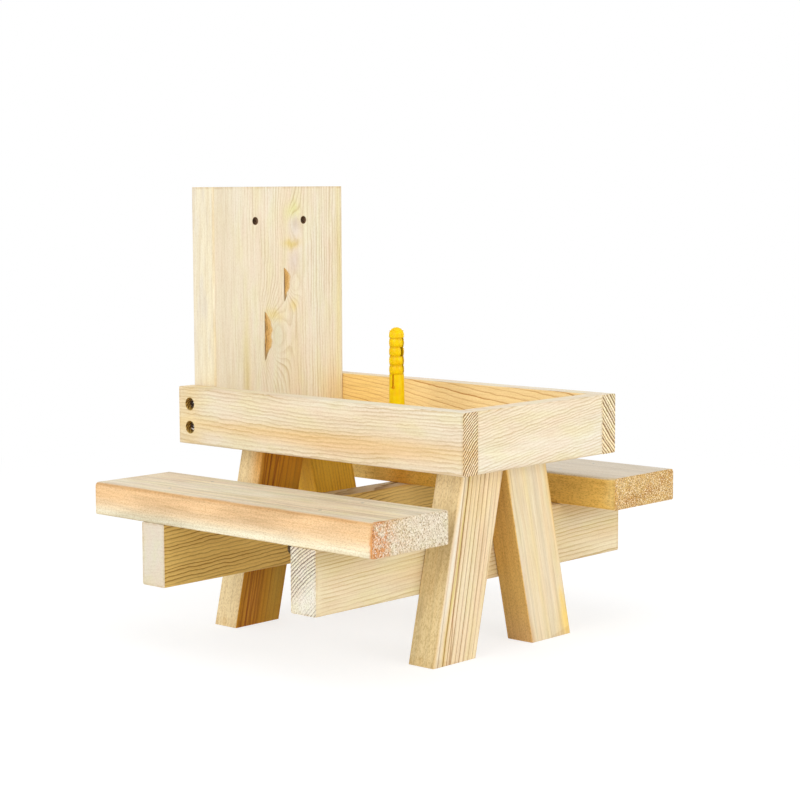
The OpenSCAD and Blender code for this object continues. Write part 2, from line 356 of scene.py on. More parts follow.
def left_bench():
    """Bench with an orange side, pale along its lower edge, a line of painted shade along its top front
    edge, and a speckled end.
    """
    return plank(
        "left_bench", ALONG_X, pith=(-75, -45), ring=1.8, contrast=0.85, fade=0.9,
        light=srgb(234, 226, 205), warm=srgb(232, 216, 187), grit=0.4, band=1.6, bands=(0.28, 0.06),
        end=(0.94, 0.91, 0.86), end_contrast=0.3, speckle=1.0,
        faces=[face(LOW_V, (240, 200, 150), grit=0.3)],
        tints=[tint((246, 238, 210), 1.2, v=BENCH_SIDE, w=-11, long=400, wide=4, deep=7.5),
               tint((222, 158, 98), 1.4, u=117.5, v=-29, long=1.5, wide=13),
               # This brown line along the rounded top front edge is painted shade.
               tint((206, 160, 104), 0.8, v=-31, w=9.5, long=400, wide=2, deep=1.5)],
        calms=[calm(0.75, v=BENCH_SIDE, wide=5)])


def right_bench():
    """Bench with a brown, coarsely speckled end; its yellow-brown side and the golden patches along it
    are painted shade.
    """
    return plank(
        "right_bench", ALONG_X, pith=(70, -40), ring=2.0, contrast=0.15, light=srgb(240, 230, 214),
        warm=srgb(238, 224, 200), band=0.8, bands=(0.28, 0.06), end=(0.84, 0.61, 0.25),
        end_line=(0.50, 0.34, 0.22), end_contrast=0.8, speckle=1.2, fleck=srgb(254, 236, 196),
        # The first face colour, on the yellow-brown side, is painted shade.
        faces=[face(LOW_V, (238, 194, 100), grit=0.75), face(HIGH_W, (222, 210, 190), grit=0.2)],
        tints=[tint((244, 214, 140), 0.9, u=117, v=-33, long=6, wide=4),
               # The next four patches on that side are painted shade, golden as deep shade is.
               tint((248, 210, 126), 0.9, u=-102, v=BENCH_SIDE, long=8, wide=3),
               tint((218, 172, 80), 0.7, u=-84, v=BENCH_SIDE, long=6, wide=3),
               tint((236, 168, 44), 0.8, u=-64, v=BENCH_SIDE, long=14, wide=3),
               tint((250, 196, 78), 0.7, u=-42, v=BENCH_SIDE, long=10, wide=3),
               tint((214, 178, 120), 0.9, u=118, v=-14, w=-6, long=2, wide=12, deep=4),
               tint((214, 178, 120), 0.9, u=118, v=6, w=-1, long=2, wide=12, deep=4),
               tint((214, 178, 120), 0.9, u=118, v=24, w=5, long=2, wide=10, deep=4)])


def front_beam():
    """Cross beam with even lines, and dark rings on its pale end; painted shade on its face under the
    bench and painted light low down near one end.
    """
    return plank(
        "front_beam", ALONG_Y, pith=(-60, -60), slope=(0.0, 0.04), ring=1.85, wander=1.0, ripple=0.8,
        share=0.18, contrast=1.15, vary=0.5, light=srgb(234, 220, 187), warm=srgb(231, 209, 165),
        end=(1.06, 1.17, 1.45), end_line=(0.20, 0.13, 0.11), end_contrast=2.6, speckle=0.6,
        # Painted shadow of the bench high on the face, then painted light low down near the end.
        tints=[tint((222, 186, 124), 0.7, u=95, v=-10, w=16, long=50, deep=7),
               tint((244, 232, 200), 0.7, u=130, v=-10, w=-14, long=34, deep=8)],
        calms=[calm(1.0, u=-142, v=-10, w=-6, long=4, wide=9, deep=11),
               calm(1.0, u=-142, w=-13, long=4, wide=10, deep=8),
               calm(1.0, u=-142, v=9, w=-18, long=4, wide=8, deep=7)])


def back_beam():
    """Cross beam with strong lines and a plain pale end; its golden face towards the front is painted
    shade.
    """
    return plank(
        "back_beam", ALONG_Y, pith=(-10, -60), slope=(0, 0.05), ring=2.2, wander=1.5, ripple=2.4,
        shiver=0.8, line=(0.44, 0.30, 0.14), contrast=1.4, fade=0.3, share=0.2,
        end=(0.88, 0.87, 0.88), end_contrast=0.15, speckle=0.15,
        # This golden face colour is painted shade from under the table.
        faces=[face(LOW_V, (242, 206, 120))],
        tints=[tint((252, 218, 136), 0.9, u=72, v=-10, long=24, wide=4, deep=60)],
        calms=[calm(0.7, w=-19.25, deep=1.5), calm(0.6, u=75, v=-10, long=24, wide=6, deep=60)])


def front_left_leg():
    """Leg with long dark lines along the left of its broad face, and a grittier narrow face whose tan is
    painted shade, lifted by painted light near its top.
    """
    return plank(
        "front_left_leg", leaning(1), half=LEG_HALF, pith=(75, 8), slope=(-0.05, 0), ring=3.7, wander=1.5,
        ripple=0.5, shiver=0.2, line=(0.46, 0.27, 0.11), contrast=1.5, fade=0.15, share=0.15, vary=0.6,
        uneven=0.6, band=0.8, light=srgb(244, 228, 192), warm=srgb(242, 216, 174),
        # The narrow face's tan is painted shade.
        faces=[face(LOW_V, (226, 203, 152), grit=0.6)],
        tints=[front_tint((244, 240, 226), 0.7, v=-15.5, wide=1.8, deep=4),
               front_tint((226, 206, 116), 0.7, v=-11, wide=1.2, deep=4),
               # This pale patch near the top of the narrow face is painted light against the shade under
               # the tray.
               tint((252, 230, 184), 1.0, u=52, v=LEG_EDGE, long=26, wide=2.5)],
        veins=[vein(v=-9.5, slope=-0.06, width=0.6, depth=0.75)],
        calms=[calm(0.55, v=20, wide=16), calm(0.9, v=LEG_EDGE, wide=3.5)])


def front_right_leg():
    """Leg with broad pale stripes and a yellow right side; the brown of its narrow face is painted shade.
    """
    return plank(
        "front_right_leg", leaning(-1), half=LEG_HALF, pith=(-75, 8), ring=5.0, wander=1.5, ripple=1.2,
        contrast=0.3, grit=0.15, band=0.8, light=srgb(236, 225, 198), warm=srgb(236, 217, 178),
        # The narrow face's brown is painted shade from the front left leg.
        faces=[face(LOW_V, (229, 187, 106), grit=0.8)],
        tints=[front_tint((236, 216, 182), 0.6, v=-10, wide=4.5, deep=6),
               front_tint((238, 218, 164), 0.6, v=-3, wide=1.6, deep=6),
               front_tint((236, 220, 190), 0.7, v=4, wide=4.5, deep=6),
               front_tint((242, 218, 176), 0.6, u=20, v=10, long=200, wide=2.5, deep=6),
               front_tint((250, 218, 130), 1.0, u=-54, v=16, long=14, wide=5, deep=6),
               front_tint((248, 216, 126), 0.8, u=-40, v=15, long=9, wide=2, deep=6),
               front_tint((242, 206, 134), 0.9, u=30, v=18, long=40, wide=3, deep=6),
               tint((226, 182, 124), 0.8, u=-60, v=LEG_EDGE, long=22, wide=3),
               tint((248, 206, 112), 0.6, u=58, v=LEG_EDGE, long=16, wide=3)])


def back_left_leg():
    """Leg with dark lines on its left half and a pale narrow face; the orange-brown of its broad face is
    painted shade.
    """
    return plank(
        "back_left_leg", leaning(1), half=LEG_HALF, pith=(70, 6), ring=3.6, wander=2.0, ripple=0.6,
        line=(0.54, 0.31, 0.10), contrast=0.95, fade=0.1, share=0.22, grit=0.4, band=0.6,
        # The second face colour, orange-brown on the broad face, is painted shade.
        faces=[face(LOW_V, (252, 230, 182), grit=0.4), face(LOW_W, (208, 147, 32))],
        tints=[front_tint((206, 168, 72), 0.8, u=-25, v=12, long=50, wide=9, deep=6),
               front_tint((226, 162, 66), 0.6, u=-48, v=-9, long=18, wide=8, deep=6),
               tint((240, 194, 126), 0.9, u=50, v=LEG_EDGE, w=-8, long=35, wide=2, deep=7),
               # This orange patch high on the broad face is painted shade under the rail.
               front_tint((246, 172, 40), 0.7, u=46, long=16, wide=40, deep=6)],
        veins=[vein(v=-15.5, slope=0.0, width=0.7, depth=0.75),
               vein(v=-11, slope=0.0, width=0.6, depth=0.75),
               vein(v=-6.5, slope=0.02, width=0.7, depth=0.75),
               vein(v=-2, slope=0.02, width=0.6, depth=0.6)],
        calms=[calm(0.9, v=LEG_EDGE, wide=1.5), calm(0.8, v=14, wide=9)])


def back_right_leg():
    """Leg mostly hidden behind the others; the deep yellow of its two faces that show is painted shade.
    """
    return plank(
        "back_right_leg", leaning(-1), half=LEG_HALF, pith=(-50, 10), ring=2.6, wander=2.0,
        line=(0.60, 0.40, 0.18), contrast=0.8, grit=0.5,
        # Both face colours are painted shade, golden as shade under the table is.
        faces=[face(LOW_V, (255, 204, 68)), face(LOW_W, (255, 205, 68))])


def all_planks():
    """Every plank; its number here is also the seed of its grain."""
    return [back_board(), left_rail(), right_rail(), front_rail(), *slats(),
            left_bench(), right_bench(), front_beam(), back_beam(),
            front_left_leg(), front_right_leg(), back_left_leg(), back_right_leg()]


# Pine: waves per mm of its uneven parts, along the fibres and across them

SWEEPS = (0.006, 0.012, 0.012)
WAVES = (0.06, 0.13, 0.13)
SHIVERS = (0.22, 0.35, 0.35)
RING_CHANGES = 0.14   # along the radius
BROAD_TONES = (0.008, 0.03, 0.03)
BLOTCHES = (0.035, 0.11, 0.11)
TINT_EDGES = (0.03, 0.12, 0.12)
BAND_LENGTHS = 0.008  # along the fibres; a plank's bands say how many across them
FADED_PLACES = (0.018, 0.07, 0.07)
VEIN_BENDS = (0.02, 0.05, 0.0)
STREAKS = (0.035, 1.1, 1.1)
ROUGH_FIBRES = (0.7, 1.4, 1.4)
DASHES = (0.15, 1.9, 1.9)
END_DOTS = (0.5, 1.0, 1.0)
END_FUZZ = (0.4, 1.2, 1.2)
SCAR_EDGES = (0.1, 0.25, 0.25)
SCAR_JAGS = (0.13, 0.05, 0.05)
SCAR_GRAIN = (0.12, 1.3, 1.3)
TORN_WALL = (0.9, 0.9, 0.9)
EDGE_DARK_PLACES = (0.04, 0.3, 0.3)
FIBRE_RIDGES = (0.06, 2.0, 2.0)
END_PITS = (0.9, 2.4, 2.4)

# How far soft edges and lines stray in mm: five times what shows

TINT_WANDER = (12, 4, 0)
VEIN_WANDER = (0, 7, 0)
SCAR_WANDER = (3, 1.2, 0)
SWEEP_PER_WANDER = 5

# Tones that a noise's low, middle and high places multiply the colour by

BLOTCH_TONES = ((0.36, (0.985, 1.0, 0.93)), (0.5, 1.0), (0.64, (1.0, 0.97, 0.985)))
BAND_TONES = ((0.34, (0.86, 0.85, 0.83)), (0.5, 1.0), (0.66, (1.06, 1.06, 1.05)))
STREAK_TONES = ((0.36, (0.91, 0.87, 0.81)), (0.52, 1.0), (0.66, (1.02, 1.03, 1.05)))
GRIT_TONES = ((0.36, (0.78, 0.72, 0.62)), (0.5, 1.0), (0.64, (1.06, 1.08, 1.12)))
DOT_TONE = (0.52, 0.42, 0.30)
EDGE_DARK_TONE = (0.86, 0.78, 0.66)
TORN_DARK = 0.45
TORN_PALE = 1.7

SEED_STEP = (37.0, 61.0, 83.0)
STREAK_AMOUNT = 0.8
DASH_AMOUNT = 0.3
HOLE_RIM = 0.25
EDGE_DARK_FROM = 2.0
EDGE_DARK_TO = 0.5
SANDED = 0.35
SAME_POINT = 0.002
SAWN_EDGE = math.radians(50)
WOOD_SHINE = 0.28
WOOD_ROUGHNESS = 0.66


def plank_place(n, plank, centre):
    """Place in the plank in mm, the way the surface faces there, and how much it is a sawn end."""
    coords = n.new("ShaderNodeTexCoord")
    place = n.new("ShaderNodeMapping", {"Vector": coords.outputs["Object"], "Location": centre,
                                        "Rotation": plank.turn, "Scale": (MM, MM, MM)},
                  vector_type="TEXTURE")
    facing = n.new("ShaderNodeMapping", {"Vector": coords.outputs["Normal"], "Rotation": plank.turn},
                   vector_type="TEXTURE")
    across = n.math("ABSOLUTE", n.split(facing.outputs[0])[0])
    return place.outputs[0], facing.outputs[0], n.ease(across, 0.45, 0.75)


def ring_radius(n, p, wild, plank):
    """Distance from the wandering middle of the tree, in mm, bent outwards round knots."""
    u = n.split(p)[0]
    pith = n.vector("MULTIPLY_ADD", u, (0, *plank.slope), (0, *plank.pith))
    sweep = SWEEP_PER_WANDER * plank.wander
    q = n.vector("ADD", p, n.swing(wild, SWEEPS, (0, sweep, sweep), detail=1.0))
    q = n.vector("ADD", q, n.swing(wild, WAVES, (0, plank.ripple, plank.ripple)))
    q = n.vector("ADD", q, n.swing(wild, SHIVERS, (0, plank.shiver, plank.shiver)))
    radius = n.vector("LENGTH", n.vector("MULTIPLY", n.vector("SUBTRACT", q, pith), (0, 1, 1)))
    for centre, reach, lift in plank.knots:
        radius = n.math("MULTIPLY_ADD", n.blob(q, centre, reach), lift, radius)
    return radius


def ring_tone(n, place, share):
    """Darkness through one ring, which darkens slowly into its share of latewood and ends sharply."""
    return n.ramp(place, (0.0, 0.15), (share / 2, 0.0), (1 - 2 * share, 0.12), (1 - share, 0.7),
                  (0.92, 1.0), (1.0, 0.15))


def growth_rings(n, p, wild, plank):
    """How much latewood shows at each place, from 0 to 1, with lighter and darker years."""
    radius = ring_radius(n, p, wild, plank)
    slow = n.math("MULTIPLY_ADD", radius, RING_CHANGES, plank.seed)
    uneven = n.new("ShaderNodeTexNoise", {"W": slow, "Scale": 1.0, "Detail": 1.0},
                   noise_dimensions="1D").outputs["Fac"]
    rings = n.math("MULTIPLY_ADD", radius, 1 / plank.ring, n.math("MULTIPLY", uneven, plank.uneven))
    late = ring_tone(n, n.math("FRACT", rings), plank.share)
    year = n.new("ShaderNodeTexWhiteNoise", {"W": n.math("ADD", n.math("FLOOR", rings), plank.seed)},
                 noise_dimensions="1D").outputs["Value"]
    return n.math("MULTIPLY", late, n.math("MULTIPLY_ADD", year, plank.vary, 0.8 - plank.vary / 2))


def base_colour(n, p, facing, wild, plank):
    """Colour of the wood before its grain, with the painted shade of some faces and patches, and how
    gritty it is.
    """
    broad = n.ease(n.noise(wild, BROAD_TONES), 0.35, 0.65)
    base = n.mix(broad, plank.light, plank.warm)
    base = n.mix(1.0, base, n.ramp(n.noise(wild, BLOTCHES), *BLOTCH_TONES), "MULTIPLY")
    gritty = plank.grit
    for way, colour, grit in plank.faces:
        turned_to = n.ease(n.vector("DOT_PRODUCT", facing, way), 0.35, 0.75)
        base = n.mix(turned_to, base, colour)
        gritty = n.math("MULTIPLY_ADD", turned_to, grit, gritty)
    if plank.tints:
        loose = n.vector("ADD", p, n.swing(wild, TINT_EDGES, TINT_WANDER))
    for centre, reach, colour, amount in plank.tints:
        base = n.mix(n.math("MULTIPLY", n.blob(loose, centre, reach), amount, clamp=True), base, colour)
    return base, gritty


def calmed(n, p, plank, late):
    """The rings, fainter in the plank's calm regions."""
    for centre, reach, amount in plank.calms:
        late = n.math("MULTIPLY", late, n.math("MULTIPLY_ADD", n.blob(p, centre, reach), -amount, 1.0))
    return late


def banded(n, wild, plank, side):
    """Broad bands along the fibres; past 1, their strength goes into a second layer."""
    band = n.ramp(n.noise(wild, (BAND_LENGTHS, *plank.bands), detail=3.0, rough=0.7), *BAND_TONES)
    side = n.mix(min(plank.band, 1), side, band, "MULTIPLY")
    return n.mix(max(plank.band - 1, 0), side, band, "MULTIPLY")


def veined(n, p, wild, plank, side):
    """Single dark lines along the fibres."""
    for start, slope, width, depth in plank.veins:
        astray = n.vector("ADD", p, n.swing(wild, VEIN_BENDS, VEIN_WANDER, detail=3.0))
        away = n.vector("SUBTRACT", astray, (0, start, 0))
        across = n.vector("DOT_PRODUCT", away, (-slope / width, 1 / width, 0))
        dark = n.math("EXPONENT", n.math("MULTIPLY", n.math("MULTIPLY", across, across), -1.0))
        side = n.mix(n.math("MULTIPLY", dark, depth), side, plank.line, "MULTIPLY")
    return side


def side_colour(n, p, wild, plank, base, gritty, late):
    """Colour of a face along the fibres: bands, rings, veins, streaks, grit and short dashes."""
    side = banded(n, wild, plank, base)
    patchy = n.ease(n.noise(wild, FADED_PLACES, detail=1.0), 0.35, 0.6, 1 - plank.fade, 1.0)
    amount = n.math("MULTIPLY", n.math("MULTIPLY", late, patchy), plank.contrast, clamp=True)
    side = n.mix(amount, side, plank.line, "MULTIPLY")
    side = veined(n, p, wild, plank, side)
    streak = n.ramp(n.noise(wild, STREAKS, detail=3.0, rough=0.65), *STREAK_TONES)
    side = n.mix(STREAK_AMOUNT, side, streak, "MULTIPLY")
    rough = n.ramp(n.noise(wild, ROUGH_FIBRES, rough=0.7), *GRIT_TONES)
    side = n.mix(gritty, side, rough, "MULTIPLY")
    dash = n.ease(n.noise(wild, DASHES, detail=1.0), 0.70, 0.76, 0.0, DASH_AMOUNT)
    return n.mix(dash, side, plank.line, "MULTIPLY")


def end_colour(n, wild, plank, base, late):
    """Colour of a sawn end: rings, dark dots and pale torn fibres."""
    cut = n.mix(1.0, base, plank.end, "MULTIPLY")
    cut = n.mix(n.math("MULTIPLY", late, plank.end_contrast, clamp=True), cut, plank.end_line, "MULTIPLY")
    dots = n.ease(n.noise(wild, END_DOTS, rough=0.8), 0.50, 0.60, 0.0, plank.speckle)
    cut = n.mix(dots, cut, DOT_TONE, "MULTIPLY")
    fuzz = n.ease(n.noise(wild, END_FUZZ, rough=0.7), 0.52, 0.62, 0.0, plank.speckle * 0.8)
    return n.mix(fuzz, cut, plank.fleck)


def scar_shape(n, p, wild, scar):
    """Place along and across a scar, and how far a place lies inside it."""
    u0, v0, long, wide = scar
    moved = n.vector("ADD", p, n.swing(wild, SCAR_EDGES, SCAR_WANDER))
    u, v, _ = n.split(n.vector("SUBTRACT", moved, (u0, v0, 0)))
    along = n.math("MULTIPLY", u, 1 / long)
    bulge = n.math("SUBTRACT", 1.0, n.math("POWER", n.math("ABSOLUTE", along), 2.6), clamp=True)
    jagged = n.math("MULTIPLY_ADD", n.noise(wild, SCAR_JAGS, detail=1.5, rough=0.6), 1.2, 0.4)
    bulge = n.math("MULTIPLY", bulge, n.math("ADD", n.math("MULTIPLY", along, 0.55), jagged))
    across = n.math("DIVIDE", v, n.math("MAXIMUM", n.math("MULTIPLY", bulge, wide), 0.05))
    inside = n.math("MULTIPLY", n.ease(v, -0.5, 0.2), n.ease(across, 1.15, 0.8))
    return along, across, n.math("MULTIPLY", inside, n.ease(bulge, 0.0, 0.15))


def scar_colour(n, p, wild, colour, scar):
    """Dark bark along a scar's straight left edge, orange resin to the right, and a brown tail below."""
    along, across, inside = scar_shape(n, p, wild, scar)
    grain = n.noise(wild, SCAR_GRAIN, detail=3.0, rough=0.7)
    tone = n.ramp(n.math("ADD", across, n.math("MULTIPLY_ADD", grain, 2.2, -1.1)),
                  (0.0, srgb(128, 96, 52)), (0.1, srgb(146, 106, 58)), (0.24, srgb(222, 176, 100)),
                  (0.4, srgb(178, 126, 62)), (0.55, srgb(236, 194, 118)), (0.72, srgb(196, 146, 78)),
                  (0.86, srgb(240, 208, 146)), (1.0, srgb(206, 168, 108)))
    tone = n.mix(n.ease(along, -0.35, -0.8), tone, srgb(158, 128, 84))
    return n.mix(inside, colour, tone)


def hole_colour(n, p, colour, hole):
    """Rough, torn inside of a drilled hole, darkened with painted shade."""
    centre, axes, radius, shade = hole
    away = n.vector("LENGTH", n.vector("MULTIPLY", n.vector("SUBTRACT", p, centre), axes))
    dark = tuple(TORN_DARK * part for part in shade)
    pale = tuple(TORN_PALE * part for part in shade)
    wall = n.ramp(n.noise(p, TORN_WALL, detail=3.0, rough=0.8), (0.36, dark), (0.62, pale))
    return n.mix(n.ease(away, radius + HOLE_RIM, radius), colour, wall, "MULTIPLY")


def edge_darkening(n, p, wild, colour, half):
    """Edges a little darker, more in some places than in others."""
    near = [n.ease(n.math("ABSOLUTE", part), size - EDGE_DARK_FROM, size - EDGE_DARK_TO)
            for part, size in zip(n.split(p), half)]
    edge = n.math("MAXIMUM", n.math("MULTIPLY", near[1], near[2]),
                  n.math("MULTIPLY", near[0], n.math("MAXIMUM", near[1], near[2])))
    uneven = n.ease(n.noise(wild, EDGE_DARK_PLACES), 0.35, 0.65, 0.15, 0.75)
    return n.mix(n.math("MULTIPLY", edge, uneven), colour, EDGE_DARK_TONE, "MULTIPLY")


def wood_colour(n, p, facing, wild, end, late, plank, half):
    """Colour of a plank, with its marks."""
    base, gritty = base_colour(n, p, facing, wild, plank)
    shown = calmed(n, p, plank, late)
    colour = n.mix(end, side_colour(n, p, wild, plank, base, gritty, shown),
                   end_colour(n, wild, plank, base, shown))
    for scar in plank.scars:
        colour = scar_colour(n, p, wild, colour, scar)
    colour = edge_darkening(n, p, wild, colour, half)
    for hole in plank.holes:
        colour = hole_colour(n, p, colour, hole)
    return colour


def pine(plank):
    """Bare pine, seen along its fibres and across its sawn ends."""
    low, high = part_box(plank.node)
    size = plank.turn.to_matrix().transposed() @ (high - low)
    half = plank.half or tuple(abs(v) / 2 / MM for v in size)
    made, n = material("pine_" + plank.node)
    p, facing, end = plank_place(n, plank, (low + high) / 2)
    wild = n.vector("ADD", p, tuple(plank.seed * step for step in SEED_STEP))
    late = growth_rings(n, p, wild, plank)
    colour = wood_colour(n, p, facing, wild, end, late, plank, half)
    fibre = n.noise(wild, FIBRE_RIDGES, detail=3.0, rough=0.65)
    pits = n.noise(wild, END_PITS, detail=3.0, rough=0.7)
    height = n.math("MULTIPLY_ADD", late, 0.5, n.mix(end, fibre, n.math("MULTIPLY", pits, 3.0)))
    rough = n.math("MULTIPLY_ADD", late, -0.12, n.math("MULTIPLY_ADD", end, 0.15, WOOD_ROUGHNESS))
    n.surface(Base_Color=colour, Roughness=rough, Normal=n.bump(height, strength=0.35, depth=0.12),
              Specular_IOR_Level=WOOD_SHINE)
    return made


def soften_ends(obj):
    """Take the knife edge off the sawn ends; the long edges are already rounded."""
    weld = obj.modifiers.new("weld", "WELD")
    weld.merge_threshold = SAME_POINT * MM
    bevel = obj.modifiers.new("sanded", "BEVEL")
    bevel.width = SANDED * MM
    bevel.segments = 2
    bevel.limit_method = "ANGLE"
    bevel.angle_limit = SAWN_EDGE


def dress_wood():
    """Soften and colour every plank."""
    for number, spec in enumerate(all_planks(), start=1):
        spec.seed = float(number)
        soften_ends(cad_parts[spec.node])
        dress(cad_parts[spec.node], pine(spec))


# Metal and plastic

COATING = (0.5, 0.5, 0.5)
SCRATCHES = (5.0, 5.0, 0.6)
WORN_AND_GLEAM_SPOTS = (0.8, 0.8, 0.8)
SCRATCH_TONE = srgb(225, 222, 214)
BARE_AND_GLEAM_STEEL = srgb(244, 240, 236)
METALS = {
    "dark_screw": dict(colour=srgb(104, 90, 84), stain=srgb(66, 52, 44), roughness=0.24, gleam=1.0),
    "zinc_steel": dict(colour=srgb(172, 170, 162), stain=srgb(148, 144, 128), roughness=0.36, gleam=0.15),
    # Zinc darkened and warmed with painted shade and a painted warm reflection, for the leg and beam
    # screws.
    "shaded_zinc": dict(colour=srgb(112, 96, 72), stain=srgb(78, 62, 42), roughness=0.5, gleam=0.1),
}
PLASTIC_CLOUDS = (0.25, 0.25, 0.25)
PLASTIC_SCUFFS = (2.2, 2.2, 0.7)
PLASTIC_GRAIN = (1.6, 1.6, 1.6)
GUARD_R = 4.75
NECK_Z = 163.0
DOME_Z = 187.5
YELLOW = srgb(244, 208, 0)
DEEP_YELLOW = srgb(240, 196, 0)
GROOVE_SHADE_YELLOW = srgb(216, 166, 0)
BORE_SHADE_YELLOW = srgb(226, 166, 26)
SCUFF_YELLOW = srgb(246, 216, 20)


def place_mm(n):
    """Place on the object in mm."""
    return n.vector("MULTIPLY", n.new("ShaderNodeTexCoord").outputs["Object"], (1 / MM, 1 / MM, 1 / MM))


def steel(name, colour, stain, roughness, gleam):
    """Steel with a blotchy coating, fine scratches, bright spots and uneven shine; the spots are worn
    bare metal, and where gleam is high, as on the dark screws, painted gleams.
    """
    made, n = material(name)
    p = place_mm(n)
    blotch = n.ease(n.noise(p, COATING, detail=4.0, rough=0.6), 0.4, 0.65)
    scratch = n.noise(p, SCRATCHES)
    tone = n.mix(blotch, colour, stain)
    tone = n.mix(n.ease(scratch, 0.62, 0.72, 0.0, 0.4), tone, SCRATCH_TONE)
    # Bright spots: worn bare metal, and painted gleams that grow with gleam.
    bare = n.ease(n.noise(p, WORN_AND_GLEAM_SPOTS, detail=1.0), 0.55, 0.62, 0.0, gleam)
    tone = n.mix(bare, tone, BARE_AND_GLEAM_STEEL)
    rough = n.math("MULTIPLY_ADD", blotch, 0.2, n.math("MULTIPLY_ADD", scratch, 0.2, roughness - 0.1))
    n.surface(Base_Color=tone, Roughness=rough, Metallic=1.0,
              Normal=n.bump(scratch, strength=0.25, depth=0.03))
    return made


def guard_plastic():
    """Moulded yellow plastic: satin, a little see-through, with painted shade darkening its grooves and
    bore, and faint scuffs.
    """
    made, n = material("yellow_plastic")
    low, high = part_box("tip_guard")
    middle = (low + high) / 2 / MM
    p = place_mm(n)
    away = n.vector("LENGTH", n.vector("MULTIPLY", n.vector("SUBTRACT", p, tuple(middle)), (1, 1, 0)))
    height = n.split(p)[2]
    beads = n.math("MULTIPLY", n.ease(height, NECK_Z - 0.5, NECK_Z), n.ease(height, DOME_Z, DOME_Z - 0.5))
    groove = n.math("MULTIPLY", n.ease(away, GUARD_R - 0.05, GUARD_R - 0.4), beads)
    inside = n.math("MULTIPLY", n.ease(away, GUARD_R - 0.2, GUARD_R - 0.7),
                    n.ease(height, NECK_Z + 0.3, NECK_Z))
    cloud = n.noise(p, PLASTIC_CLOUDS, detail=3.0)
    scuff = n.ease(n.noise(p, PLASTIC_SCUFFS, detail=3.0, rough=0.7), 0.6, 0.75)
    tone = n.mix(n.ease(cloud, 0.35, 0.65), YELLOW, DEEP_YELLOW)
    # Painted shade in the grooves between the beads.
    tone = n.mix(n.math("MULTIPLY", groove, 0.7), tone, GROOVE_SHADE_YELLOW)
    # Painted shade, orange-brown, in the keyhole groove and the bore.
    tone = n.mix(inside, tone, BORE_SHADE_YELLOW)
    tone = n.mix(n.math("MULTIPLY", scuff, 0.3), tone, SCUFF_YELLOW)
    rough = n.math("MULTIPLY_ADD", scuff, 0.2, n.math("MULTIPLY_ADD", cloud, 0.2, 0.25))
    grain = n.noise(p, PLASTIC_GRAIN)
    n.surface(Base_Color=tone, Roughness=rough, Normal=n.bump(grain, strength=0.1, depth=0.04),
              Specular_IOR_Level=n.math("MULTIPLY_ADD", inside, -0.14, 0.16), Subsurface_Weight=0.3,
              Subsurface_Radius=(1.0, 0.6, 0.1), Subsurface_Scale=0.6 * MM)
    return made


# Fasteners: lengths in mm, each along its own Z with its head's end at 0 and its point down

SIDES = 32
FACE_STEPS = 18
STEPS_PER_TURN = 5
CREST_SHARE = 0.28     # half of what a thread's foot takes of its pitch
WALL_SLANT = 0.2
FIRST_TURN = 0.9       # radians; no two screws' crosses lie in line
NEXT_TURN = 1.7
SMOOTH_BELOW = math.radians(35)
SAME_CORNER = 0.001
SAME_END = 0.05
SCREW_R = 2.0
CORE_R = 1.45
PITCH = 1.8
SUNK_HEAD_R = 3.8
PAN_HEAD_R = 3.8
PAN_HEAD_H = 2.6
NAIL_R = 0.8
SPIKE_R = 3.0
SPIKE_CORE_R = 2.2
SPIKE_PITCH = 3.0
SPIKE_POINT = 9
SPIKE_NECK = -16       # height at which its thread starts


def solids(node):
    """The separate solids of a CAD node, each as a list of its corners."""
    bm = bmesh.new()
    bm.from_mesh(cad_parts[node].data)
    bmesh.ops.remove_doubles(bm, verts=bm.verts, dist=SAME_CORNER * MM)
    left = set(bm.verts)
    found = []
    while left:
        reach = [left.pop()]
        for vert in reach:
            for edge in vert.link_edges:
                other = edge.other_vert(vert)
                if other in left:
                    left.remove(other)
                    reach.append(other)
        found.append(sorted(tuple(vert.co) for vert in reach))
    bm.free()
    return sorted(found)


def head_place(corners):
    """Where a fastener's head ends and its length, with local Z pointing out of the head."""
    low = [min(c[i] for c in corners) for i in range(3)]
    high = [max(c[i] for c in corners) for i in range(3)]
    axis = max(range(3), key=lambda i: high[i] - low[i])
    middle = [(a + b) / 2 for a, b in zip(low, high)]

    def width(end):
        ring = [c for c in corners if abs(c[axis] - end) < SAME_END * MM]
        return max(abs(c[i] - middle[i]) for c in ring for i in range(3) if i != axis)

    up = width(high[axis]) > width(low[axis])
    out = Vector([0, 0, 0])
    out[axis] = 1 if up else -1
    middle[axis] = high[axis] if up else low[axis]
    turn = Vector((0, 0, 1)).rotation_difference(out).to_matrix().to_4x4()
    return Matrix.Translation(middle) @ turn, (high[axis] - low[axis]) / MM


def cross_depth(x, y, arm, wide, deep):
    """Depth of a cross recess at a place on a screw's face; its arms get shallower outwards."""
    near, far = sorted((abs(x), abs(y)))
    wall = min(max((wide - near) / WALL_SLANT, 0), 1)
    return deep * wall * math.sqrt(min(max((arm - far) / arm, 0), 1))


def crest(height, angle, pitch):
    """How far a thread stands out, from 0 between two turns to 1 on its sharp edge."""
    turn = (height / pitch - angle / (2 * math.pi)) % 1
    return max(0, 1 - abs(turn - 0.5) / CREST_SHARE)


